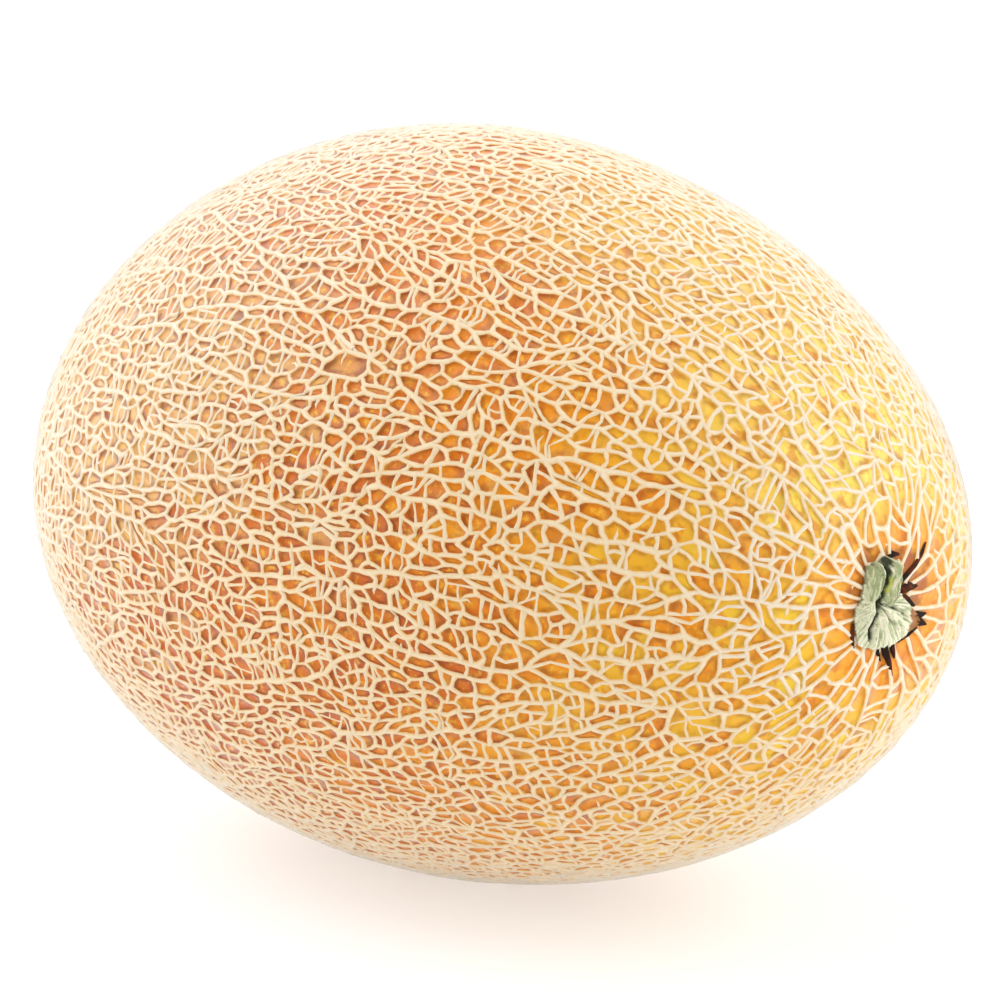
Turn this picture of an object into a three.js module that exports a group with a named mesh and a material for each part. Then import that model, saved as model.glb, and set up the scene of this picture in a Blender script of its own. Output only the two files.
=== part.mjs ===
// A whole hami melon lying on its side, in millimetres, +Z up.
// The stem end points along +X, the blossom end along -X. The melon rests on a small flat spot in the
// plane z = 0, and the origin is the middle of its footprint, in that plane.
// It is two grown pieces: the fruit itself, and the dry stub of the stalk that is left at its stem end.
import * as THREE from "three";

// ---- driving dimensions ----
const LENGTH = 240; // stem end to blossom end, before the two ends dip in
const WIDTH = 165.5; // across the fattest part
const TAPER = -0.087; // how much the fruit narrows towards the stem: under 0 means the blossom end is fatter
const FLAT_DEPTH = 1.1; // how far the resting spot is pressed in

const STEM_DIP = { depth: 2.6, radius: 14 }; // shallow bowl round the stalk
const BLOSSOM_DIP = { depth: 1.4, radius: 12 }; // shallower bowl at the blossom end

// Broad swells and flats that keep the fruit from being a perfect egg: the direction each lies in from the
// middle of the fruit, how far it stands out, and how wide it spreads, in radians.
const SWELLS = [
  { name: "back shoulder by the stem", toward: [0.67, 0.74, 0.0], rise: 3.2, spread: 0.35 },
  { name: "front cheek by the blossom", toward: [-0.67, -0.74, 0.0], rise: 2.9, spread: 0.3 },
  { name: "flat above that cheek", toward: [-0.6, -0.42, 0.69], rise: -2.5, spread: 0.35 },
];

const STUB = {
  centre: { y: -2, z: 1 }, // where the stalk left the fruit, beside the long axis
  radius: 9.6, // of the stalk's foot on the rind, before the waists and flaps
  rise: 4.6, // how far the torn middle stands off the rind
  rimRise: 1.2, // thickness at the ragged edge
  gap: 0.3, // clearance between the foot and the rind
};

// The foot's outline is pinched between the stalk above and the torn fan of skin below it. Each entry is a
// direction round the long axis, in degrees from the top towards +Y, how far the outline moves out there,
// and the half width of that stretch, in degrees.
const STUB_OUTLINE = [
  { name: "far waist", turn: 58, reach: -4.2, spread: 26 },
  { name: "near waist", turn: 294, reach: -2.6, spread: 26 },
  { name: "far flap", turn: 106, reach: 1.1, spread: 14 },
  { name: "near flap", turn: 226, reach: 1.9, spread: 16 },
];

const BODY_ROWS = 50; // steps from stem pole to blossom pole
const BODY_SPOKES = 60; // steps round the fruit
const STUB_ROWS = 7;
const STUB_SPOKES = 60;

// ---- the fruit's surface ----
const halfLength = LENGTH / 2;
const halfWidth = WIDTH / 2;
const centreHeight = halfWidth - FLAT_DEPTH; // height of the fruit's long axis
const swells = SWELLS.map((s) => ({ ...s, toward: new THREE.Vector3(...s.toward).normalize() }));

const dip = ({ depth, radius }, fromAxis) => depth * Math.exp(-((fromAxis / radius) ** 2));

// A point of the rind. angle runs from 0 at the stem pole to PI at the blossom pole, turn goes round the
// long axis from the top.
function rindPoint(angle, turn) {
  const along = Math.cos(angle);
  const fromAxis = halfWidth * Math.sin(angle) * (1 + TAPER * along);
  const point = new THREE.Vector3(
    halfLength * along,
    fromAxis * Math.sin(turn),
    fromAxis * Math.cos(turn),
  );
  const direction = point.clone().normalize();
  for (const { toward, rise, spread } of swells)
    point.addScaledVector(direction, rise * Math.exp((direction.dot(toward) - 1) / spread ** 2));
  point.x += along > 0 ? -dip(STEM_DIP, fromAxis) : dip(BLOSSOM_DIP, fromAxis);
  point.z = Math.max(point.z + centreHeight, 0);
  return point;
}

// A closed skin over rings of points: the first and the last ring are single points, the poles.
// Seen from the first pole the rings run anticlockwise.
function closedSkin(rings) {
  const spokes = rings[1].length;
  const positions = rings.flat().flatMap((p) => p.toArray());
  const ringStart = (row) => (row === 0 ? 0 : 1 + (row - 1) * spokes);
  const at = (row, spoke) => ringStart(row) + (rings[row].length === 1 ? 0 : spoke % spokes);
  const index = [];
  for (let row = 0; row + 1 < rings.length; row++)
    for (let spoke = 0; spoke < spokes; spoke++) {
      const [a, b] = [at(row, spoke), at(row, spoke + 1)];
      const [c, d] = [at(row + 1, spoke), at(row + 1, spoke + 1)];
      if (a !== b) index.push(a, c, b);
      if (c !== d) index.push(b, c, d);
    }
  const geometry = new THREE.BufferGeometry();
  geometry.setAttribute("position", new THREE.Float32BufferAttribute(positions, 3));
  geometry.setIndex(index);
  geometry.computeVertexNormals();
  return geometry;
}

const ring = (spokes, pointAt) =>
  Array.from({ length: spokes }, (_, i) => pointAt((i / spokes) * 2 * Math.PI));

function fruitGeometry() {
  const rings = [[rindPoint(0, 0)]];
  for (let row = 1; row < BODY_ROWS; row++)
    rings.push(ring(BODY_SPOKES, (turn) => rindPoint((row / BODY_ROWS) * Math.PI, -turn)));
  rings.push([rindPoint(Math.PI, 0)]);
  return closedSkin(rings);
}

// ---- the stub of the stalk ----
const degrees = THREE.MathUtils.radToDeg;

// The foot's outline, as a distance from the stub's own centre.
function stubRadius(turn) {
  let radius = STUB.radius;
  for (const { turn: towards, reach, spread } of STUB_OUTLINE) {
    const away = THREE.MathUtils.euclideanModulo(degrees(turn) - towards + 180, 360) - 180;
    radius += reach * Math.exp(-((away / spread) ** 2));
  }
  return radius;
}

// A point over the rind, at a share of the way from the stub's centre to its outline, lifted along the axis.
function stubPoint(share, turn, lift) {
  const out = share * stubRadius(turn);
  const y = STUB.centre.y + out * Math.sin(turn);
  const z = STUB.centre.z + out * Math.cos(turn);
  const angle = Math.asin(Math.hypot(y, z) / (halfWidth * (1 + TAPER)));
  const point = rindPoint(angle, Math.atan2(y, z));
  point.x += STUB.gap + lift;
  return point;
}

function stubGeometry() {
  const lift = (share) => STUB.rimRise + (STUB.rise - STUB.rimRise) * Math.cos((share * Math.PI) / 2) ** 2;
  const topRing = (share) => ring(STUB_SPOKES, (turn) => stubPoint(share, -turn, lift(share)));
  const footRing = (share) => ring(STUB_SPOKES, (turn) => stubPoint(share, -turn, 0));
  const rings = [[stubPoint(0, 0, lift(0))]];
  for (let row = 1; row <= STUB_ROWS; row++) rings.push(topRing(row / STUB_ROWS));
  for (let row = STUB_ROWS; row >= 1; row--) rings.push(footRing(row / STUB_ROWS));
  rings.push([stubPoint(0, 0, 0)]);
  return closedSkin(rings);
}

// ---- materials ----
const rind = new THREE.MeshStandardMaterial({ color: 0xe8bd80, roughness: 0.7, metalness: 0 });
const dryStalk = new THREE.MeshStandardMaterial({ color: 0xb4ba98, roughness: 0.85, metalness: 0 });

// ---- assembly ----
function named(name, geometry, material) {
  const mesh = new THREE.Mesh(geometry, material);
  mesh.name = name;
  return mesh;
}

const melon = new THREE.Group();
melon.name = "hami_melon";
melon.add(named("melon", fruitGeometry(), rind));
melon.add(named("stem_stub", stubGeometry(), dryStalk));

// The footprint's middle becomes the origin.
const footprint = new THREE.Box3().setFromObject(melon).getCenter(new THREE.Vector3());
for (const piece of melon.children) piece.position.set(-footprint.x, -footprint.y, 0);

export default melon;
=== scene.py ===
"""A hami melon lying on its side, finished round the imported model: its netted rind and the dry stub of its
stalk. Laid out as an add-on: one operator for each piece, and one for the stage."""
import math

import bmesh
import bpy
import numpy as np
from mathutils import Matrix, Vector, noise
from mathutils.bvhtree import BVHTree


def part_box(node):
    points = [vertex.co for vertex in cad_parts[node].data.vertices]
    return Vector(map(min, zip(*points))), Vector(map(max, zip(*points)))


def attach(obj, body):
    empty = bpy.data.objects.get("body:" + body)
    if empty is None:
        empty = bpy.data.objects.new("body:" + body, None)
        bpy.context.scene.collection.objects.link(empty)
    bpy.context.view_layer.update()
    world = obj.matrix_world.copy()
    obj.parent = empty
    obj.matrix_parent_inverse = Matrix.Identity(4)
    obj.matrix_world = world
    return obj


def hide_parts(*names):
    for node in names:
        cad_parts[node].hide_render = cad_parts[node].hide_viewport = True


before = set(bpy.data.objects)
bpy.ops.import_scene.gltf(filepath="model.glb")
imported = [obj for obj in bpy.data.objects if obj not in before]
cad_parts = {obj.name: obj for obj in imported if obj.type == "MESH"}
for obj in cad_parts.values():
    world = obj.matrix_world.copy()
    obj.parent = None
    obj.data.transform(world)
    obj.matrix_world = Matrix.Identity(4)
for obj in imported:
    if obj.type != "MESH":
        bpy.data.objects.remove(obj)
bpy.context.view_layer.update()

bl_info = {
    "name": "Hami Melon",
    "version": (1, 0, 0),
    "blender": (4, 5, 0),
    "location": "View3D > Sidebar > Melon",
    "description": "Makes a netted hami melon round its packed model",
    "category": "Object",
}

MM = 0.001


# ---- Settings ----

def length(name, description, millimetres, most=0.5):
    """A size in metres, given here in millimetres."""
    return bpy.props.FloatProperty(
        name=name, description=description, default=millimetres * MM, min=0.0, max=most,
        precision=5, subtype="DISTANCE", unit="LENGTH")


def number(name, description, value, most=10.0):
    return bpy.props.FloatProperty(
        name=name, description=description, default=value, min=0.0, max=most, precision=3)


def angle(name, description, degrees):
    return bpy.props.FloatProperty(
        name=name, description=description, default=math.radians(degrees), subtype="ANGLE", unit="ROTATION")


def colour(name, description, red, green, blue):
    """A colour given as it looks on a screen, from 0 to 255, and kept in linear light."""
    return bpy.props.FloatVectorProperty(
        name=name, description=description, default=[linear(c / 255) for c in (red, green, blue)],
        min=0.0, max=1.0, size=3, subtype="COLOR")


def linear(shown):
    return shown / 12.92 if shown <= 0.04045 else ((shown + 0.055) / 1.055) ** 2.4


class MelonNetSettings(bpy.types.PropertyGroup):
    """Sizes of the raised net and of the smooth pans of skin in its meshes."""
    seed: bpy.props.IntProperty(name="Seed", description="Which net grows", default=11, min=0)
    main_meshes: bpy.props.IntProperty(
        name="Main meshes", description="How many large meshes the thickest strands bound", default=330,
        min=40)
    spokes: bpy.props.IntProperty(
        name="Spokes", description="Strands that run out from the stalk", default=24, min=6)
    bed: length("Stalk bed", "Radius of the bare patch that the stalk covers", 5.5)
    mesh_area: bpy.props.FloatProperty(
        name="Mesh area", description="A mesh larger than about this is parted by a finer strand, in mm2",
        default=32.0, min=4.0)
    fine_area: bpy.props.FloatProperty(
        name="Fine mesh area", description="The same for the finest strands, which part the pans, in mm2",
        default=14.5, min=3.0)
    stretch: number("Stretch", "How many times longer a large mesh is along the fruit than round it", 2.2)
    stem_stretch: number("Stretch by the stalk", "The same, next to the stalk", 2.8)
    shape: number("Shape", "How many times longer a mesh is along the fruit than round it", 1.7)
    fine_shape: number("Fine shape", "The same, for the meshes between the finest strands", 1.0)
    main_width: length("Main strand width", "Width of the thickest strands", 1.6)
    fine_width: length("Fine strand width", "Width of the finest strands that bound a pan", 0.9)
    finest_width: length("Finest strand width", "Width of the strands that part a pan", 1.1)
    height: length("Net height", "How far the thickest strands stand above the skin", 0.4)
    pan_depth: length("Pan depth", "How far the pans lie below the skin's mean", 0.26)
    pan_dome: length("Pan dome", "How far the middle of a pan swells", 0.12)
    wander: number("Wander", "How far strands stray from straight, in meshes", 0.35)
    spurs: number("Spurs", "Share of the finest strands that die out half way", 0.08, most=1.0)


class MelonColourSettings(bpy.types.PropertyGroup):
    """Colours of the skin, the net and the stalk."""
    pan: colour("Pan", "The skin in the meshes of the net", 222, 134, 2)
    pan_ripe: colour("Ripe pan", "The skin towards the stalk", 236, 204, 52)
    # besides the skin's own deep tone, this is painted shade on the very top, and in part lower down
    pan_deep: colour("Deep pan", "The skin round the middle", 192, 88, 0)
    pan_dull: colour("Dull pan", "The skin at the blossom end", 214, 166, 94)
    # painted light: the skin paler on the upper side towards the stalk, as if lit there
    pan_painted_light: colour("Sunny pan", "The skin on top, towards the stalk", 240, 216, 112)
    # This brown is painted shade at the edges of pans, in small pans and round the stub, and a browner tone
    # on the dead skin.
    pan_fleck: colour("Fleck", "Pale flecks in the skin", 230, 172, 50)
    shade_and_brown: colour("Rim", "The edge of a pan, and a small pan", 126, 50, 2)
    net: colour("Net", "The dry cork of the strands", 236, 217, 184)
    # on top this pale cork follows the painted light, and in the stub's pale streaks it is partly painted
    # highlight
    net_pale: colour("Pale net", "Cork at the blossom end, on top and by the stalk", 234, 222, 201)
    net_side: colour("Net side", "The banks of the strands, and thin cork", 229, 191, 136)
    ring: colour("Ring", "The skin round the stalk", 232, 128, 4)
    bruise: colour("Bruise", "Dead skin at the edge of the stub", 34, 22, 16)
    stalk: colour("Stalk", "The dry stalk", 198, 203, 160)
    fan: colour("Fan", "The torn fan of fibres at the stalk's foot", 220, 221, 188)
    # painted shade: the stub darkens to this in its folds, cracks and furrows
    fibre: colour("Fibre", "Darker fibres in the stub", 132, 142, 94)
    groove: colour("Groove", "The deep folds of the stub", 44, 52, 24)
    fresh: colour("Fresh", "Where the stalk is still green", 196, 198, 84)
    rust: colour("Rust", "The stub's dried corner", 150, 98, 46)


class MelonStageSettings(bpy.types.PropertyGroup):
    """Where the camera stands, and the floor's colour and size."""
    turn: angle("Turn", "How far the camera stands round from the fruit's side, towards the stem end", 48.0)
    rise: angle("Rise", "How high the camera looks down from", 13.5)
    distance: length("Distance", "From the camera to the middle of the fruit", 993.0, most=10.0)
    lens: bpy.props.FloatProperty(name="Lens", description="Focal length", default=161.9, unit="CAMERA")
    floor: colour("Floor", "The floor", 250, 250, 249)
    floor_size: length("Floor size", "Side of the floor", 6000.0, most=20.0)


# ---- The skin under the net ----

def in_scene(name, data):
    """A new object of this data, linked to the scene."""
    made = bpy.data.objects.new(name, data)
    bpy.context.scene.collection.objects.link(made)
    return made


def store_values(mesh, values):
    """Stores numbers on the points of a mesh, under their names."""
    for name, numbers in values.items():
        mesh.attributes.new(name, "FLOAT", "POINT").data.foreach_set("value", numbers)


class Skin:
    """The smooth skin of the fruit, made from the CAD fruit, and the way from the net's sphere onto it.

    The net is laid out on a sphere, where its meshes are as wide as they are long. The sphere's axis is the
    fruit's long axis, and its pole at x = 1 is the stem end. On the way to the fruit the meshes are stretched
    along it by net.stretch, and by net.stem_stretch next to the stalk."""

    SMOOTHING = 2  # rounds of subdivision over the CAD fruit
    WELD = 1e-6  # distance under which the CAD fruit's corners are one
    QUAD_TURN, QUAD_SKEW = 0.3, 3.1  # limits in radians for joining two of its triangles
    STEM_REACH = 0.42  # radians from the stem end over which the stretch there fades
    BLOSSOM_REACH = 0.5  # the same, from the blossom end
    BLOSSOM_STRETCH = 1.1
    TABLE_ROWS = 4000
    POLE_GAP = 1e-3  # radians that the tables leave out at each pole

    def __init__(self, node, net):
        low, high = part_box(node)
        self.centre = (low + high) / 2
        self.half_length = (high.x - low.x) / 2
        self.half_width = (high.y - low.y + high.z - low.z) / 4
        self.tree = self._smooth_tree(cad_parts[node])
        self._lay_out(net)

    def _smooth_tree(self, cad):
        bm = bmesh.new()
        bm.from_mesh(cad.data)
        bmesh.ops.remove_doubles(bm, verts=bm.verts, dist=self.WELD)
        bmesh.ops.join_triangles(bm, faces=bm.faces, angle_face_threshold=self.QUAD_TURN,
                                 angle_shape_threshold=self.QUAD_SKEW)
        mesh = bpy.data.meshes.new("smooth_skin")
        bm.to_mesh(mesh)
        bm.free()
        copy = in_scene("smooth_skin", mesh)
        smoother = copy.modifiers.new("Smooth", "SUBSURF")
        smoother.levels = smoother.render_levels = self.SMOOTHING
        tree = BVHTree.FromObject(copy, bpy.context.evaluated_depsgraph_get())
        bpy.data.objects.remove(copy)
        bpy.data.meshes.remove(mesh)
        return tree

    def _lay_out(self, net):
        """Tables of the angle from the stem pole, on the fruit and on the net's sphere."""
        on_fruit = np.linspace(self.POLE_GAP, math.pi - self.POLE_GAP, self.TABLE_ROWS)
        near_stem = np.exp(-(on_fruit / self.STEM_REACH) ** 4)
        near_blossom = np.exp(-((math.pi - on_fruit) / self.BLOSSOM_REACH) ** 2)
        stretch = net.stretch + (net.stem_stretch - net.stretch) * near_stem
        stretch += (self.BLOSSOM_STRETCH - net.stretch) * near_blossom
        step = np.hypot(self.half_length * np.sin(on_fruit), self.half_width * np.cos(on_fruit))
        radius = self.half_width * np.sin(on_fruit)
        rate = step / (stretch * radius)
        climb = np.concatenate([[0], np.cumsum((rate[1:] + rate[:-1]) / 2 * np.diff(on_fruit))])
        climb -= np.interp(math.pi / 2, on_fruit, climb)
        on_sphere = 2 * np.arctan(np.exp(climb))
        scale = radius / np.sin(on_sphere)
        self.on_fruit, self.on_sphere = on_fruit, on_sphere
        self.area_scale = scale * scale * stretch
        self.stretch = stretch

    def fruit_angle(self, points):
        """Angle on the fruit from the stem pole, for points of the sphere."""
        from_pole = np.arccos(np.clip(np.asarray(points)[..., 0], -1, 1))
        return np.interp(from_pole, self.on_sphere, self.on_fruit)

    def sphere_angle(self, from_axis):
        """Angle on the sphere of the ring that lies this far from the fruit's long axis, at the stem end."""
        return float(np.interp(math.asin(from_axis / self.half_width), self.on_fruit, self.on_sphere))

    def real_area(self, sphere_area, point):
        """What a small area of the sphere at a point covers on the fruit, in square metres."""
        return sphere_area * self._look_up(self.area_scale, point)

    def stretch_at(self, point):
        """How many times longer a mesh is there along the fruit than round it."""
        return self._look_up(self.stretch, point)

    def _look_up(self, table, point):
        return np.interp(math.acos(max(-1, min(1, point[0]))), self.on_sphere, table)

    def direction(self, points):
        """From the middle of the fruit towards the skin, for points of the sphere."""
        points = np.asarray(points)
        along = self.fruit_angle(points)
        turn = np.arctan2(points[..., 1], points[..., 2])
        round_axis = self.half_width * np.sin(along)
        return np.stack([self.half_length * np.cos(along), round_axis * np.sin(turn),
                         round_axis * np.cos(turn)], axis=-1)

    def meet(self, directions):
        """The points of the skin that lie these ways from the middle of the fruit."""
        cast, centre = self.tree.ray_cast, self.centre
        return np.array([cast(centre, Vector(d))[0] for d in directions])

    def below(self, points):
        """The points of the skin in line with these points and the middle of the fruit."""
        return self.meet(np.asarray(points) - np.array(self.centre))

    def at_stem(self, places):
        """The points of the skin at the stem end that have these y and z."""
        cast = self.tree.ray_cast
        start = self.centre.x + self.half_length + MM
        return np.array([cast(Vector((start, y, z)), Vector((-1, 0, 0)))[0] for y, z in places])

    def upward(self, points):
        """Which way the skin faces at these points, near enough."""
        halves = np.array((self.half_length, self.half_width, self.half_width))
        return unit((np.asarray(points) - np.array(self.centre)) / halves ** 2)

    def laid_flat(self, outline):
        """An outline on the skin, laid flat: its points, its middle, and the two directions they go by."""
        middle = outline.mean(axis=0)
        along, around = flat_frame(self.upward(middle))
        away = outline - middle
        return np.stack([away @ along, away @ around], axis=1), middle, along, around


# ---- The net ----

def unit(vectors):
    vectors = np.asarray(vectors, float)
    return vectors / np.linalg.norm(vectors, axis=-1, keepdims=True)


def sides_of(loop):
    """The pairs of neighbours round a loop."""
    return zip(loop, loop[1:] + loop[:1])


def ordered(a, b):
    """The two ends of a strand, the lower number first."""
    return min(a, b), max(a, b)


def flat_frame(middle):
    """Two directions across the sphere at a point: along the fruit, and round it."""
    around = np.cross(middle, (1.0, 0.0, 0.0))
    if np.linalg.norm(around) < 1e-6:
        around = np.array((0.0, 1.0, 0.0))
    around = unit(around)
    return np.cross(around, middle), around


def shoelace(flat):
    """Area and middle of a flat polygon."""
    after = np.roll(flat, -1, axis=0)
    cross = flat[:, 0] * after[:, 1] - after[:, 0] * flat[:, 1]
    area = cross.sum() / 2
    if abs(area) < 1e-12:
        return area, flat.mean(axis=0)
    return area, ((flat + after) * cross[:, None]).sum(axis=0) / (6 * area)


def crossings(flat, start, longer):
    """Where a cut through start, square to a direction, leaves a flat polygon: twice two corners and a share
    of the way between them. None if it doesn't."""
    side_of = (flat - start) @ longer
    along_cut = (flat - start) @ np.array((-longer[1], longer[0]))
    found = []
    for i in range(len(flat)):
        j = (i + 1) % len(flat)
        if (side_of[i] > 0) != (side_of[j] > 0):
            share = side_of[i] / (side_of[i] - side_of[j])
            found.append((along_cut[i] + (along_cut[j] - along_cut[i]) * share, i, j, share))
    before = max((c for c in found if c[0] <= 0), default=None)
    after = min((c for c in found if c[0] > 0), default=None)
    return None if before is None or after is None else (before[1:], after[1:])


class Web:
    """A map of the net on the sphere: points, the cells that they bound, and a strand along each side.

    A cell is a loop of point numbers, anticlockwise seen from outside. owner[a, b] is the cell that has the
    side from a to b. strength[a, b], with a < b, is how thick that strand is, from 0 to 1."""

    def __init__(self, seeds):
        self.points, self.cells, self.owner = [], {}, {}
        self.strength, self.level = {}, {}
        self.next_cell = 0
        self._from_seeds(seeds)

    def _from_seeds(self, seeds):
        """The cells nearest to each seed."""
        bm = bmesh.new()
        for seed in seeds:
            bm.verts.new(seed)
        bm.verts.index_update()
        bmesh.ops.convex_hull(bm, input=bm.verts)
        after = [{} for _ in seeds]
        for face in bm.faces:
            corners = [v.index for v in face.verts]
            a, b, c = (np.array(seeds[i]) for i in corners)
            corner = np.cross(b - a, c - a)
            if corner @ (a + b + c) < 0:
                corners.reverse()
                corner = -corner
            for i, j, k in zip(corners, corners[1:] + corners[:1], corners[2:] + corners[:2]):
                after[i][j] = k, len(self.points)
            self.points.append(unit(corner))
        bm.free()
        for turns in after:
            loop, neighbour = [], next(iter(turns))
            for _ in turns:
                neighbour, point = turns[neighbour]
                loop.append(point)
            self.add_cell(loop, 0)

    def add_cell(self, loop, level):
        number, self.next_cell = self.next_cell, self.next_cell + 1
        self.cells[number] = loop
        self.level[number] = level
        for a, b in sides_of(loop):
            self.owner[a, b] = number
        return number

    def flat(self, cell):
        """A cell's loop in its own plane, with the directions of that plane and its middle."""
        points = np.array([self.points[p] for p in self.cells[cell]])
        middle = unit(points.mean(axis=0))
        along, across = flat_frame(middle)
        return np.stack([points @ along, points @ across], axis=1), along, across, middle

    def part_side(self, a, b, point):
        """Adds a point on the side from a to b."""
        new = len(self.points)
        self.points.append(unit(point))
        strength = self.strength.pop(ordered(a, b), None)
        for p in (a, b):
            if strength is not None:
                self.strength[ordered(p, new)] = strength
        for start, end in ((a, b), (b, a)):
            cell = self.owner.pop((start, end))
            loop = self.cells[cell]
            loop.insert(loop.index(start) + 1, new)
            self.owner[start, new] = self.owner[new, end] = cell
        return new

    def part_cell(self, cell, path, strength):
        """Parts a cell in two by a strand along a path of points, whose two ends are on its loop."""
        loop, level = self.cells.pop(cell), self.level.pop(cell)
        i = loop.index(path[0])
        loop = loop[i:] + loop[:i]
        j = loop.index(path[-1])
        for a, b in zip(path, path[1:]):
            self.strength[ordered(a, b)] = strength
        return [self.add_cell(loop[:j] + path[:0:-1], level + 1),
                self.add_cell(loop[j:] + path[:-1], level + 1)]


SPOKE_JITTER = 0.22  # of a spoke's mesh sideways, as a share of the way to the next one
RING_JITTER = (-0.01, 0.03)  # of the same mesh outwards, in radians
RING_ROOM = 0.075  # radians outside the ring of spokes that hold no other middle
SPACING_SHARE = 0.8  # least distance between two middles, as a share of an even spacing
MOST_TRIES = 400  # misses in a row after which the sphere counts as full


def main_seeds(skin, net, random):
    """The middles of the large meshes: one at the stalk, a ring of them for the spokes, and the rest."""
    ring_angle = 2 * skin.sphere_angle(net.bed)
    seeds = [np.array((1.0, 0.0, 0.0))]
    for i in range(net.spokes):
        turn = 2 * math.pi * (i + random.uniform(-SPOKE_JITTER, SPOKE_JITTER)) / net.spokes
        out = ring_angle + random.uniform(*RING_JITTER)
        aside = math.sin(out)
        seeds.append(np.array((math.cos(out), aside * math.sin(turn), aside * math.cos(turn))))
    clear = math.cos(ring_angle + RING_ROOM)
    too_near = math.cos(SPACING_SHARE * math.sqrt(4 * math.pi / net.main_meshes))
    tries = 0
    while tries < MOST_TRIES and len(seeds) < net.main_meshes + net.spokes:
        point = unit(random.normal(size=3))
        tries += 1
        if point[0] <= clear and all(point @ seed <= too_near for seed in seeds[1 + net.spokes:]):
            seeds.append(point)
            tries = 0
    return seeds


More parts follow.
